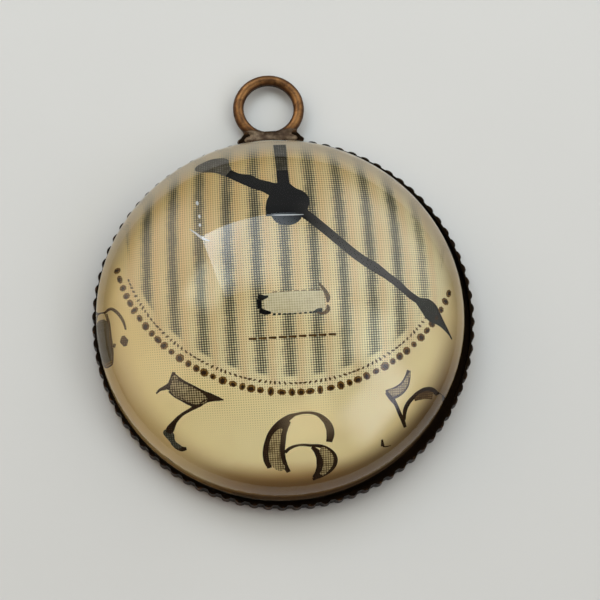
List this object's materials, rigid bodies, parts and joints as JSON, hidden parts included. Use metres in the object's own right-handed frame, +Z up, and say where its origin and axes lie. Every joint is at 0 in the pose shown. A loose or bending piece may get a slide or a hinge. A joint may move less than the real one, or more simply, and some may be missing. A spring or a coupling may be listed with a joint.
{
  "type": "glass cabochon pendant",
  "caption": "Round pendant: domed clear glass over a printed dial picture, in a shallow antique bronze tray with a milled rim and a soldered wire loop, lying on its back.",
  "frame": {"origin": "centre of the tray's flat back", "axes": "+Z up out of the tray towards the top of the glass dome, +Y towards the loop, +X to the right of the picture"},
  "size_m": [0.026, 0.0309, 0.0078],
  "materials": {
    "setting": "antique bronze plate, darkened and rubbed back on the edges",
    "picture_disc": "printed paper card, matt",
    "glass_cabochon": "clear, fire polished"
  },
  "bodies": {
    "root": {"setting": "setting", "picture_disc": "picture_disc", "glass_cabochon": "glass_cabochon"}
  },
  "joints": []
}
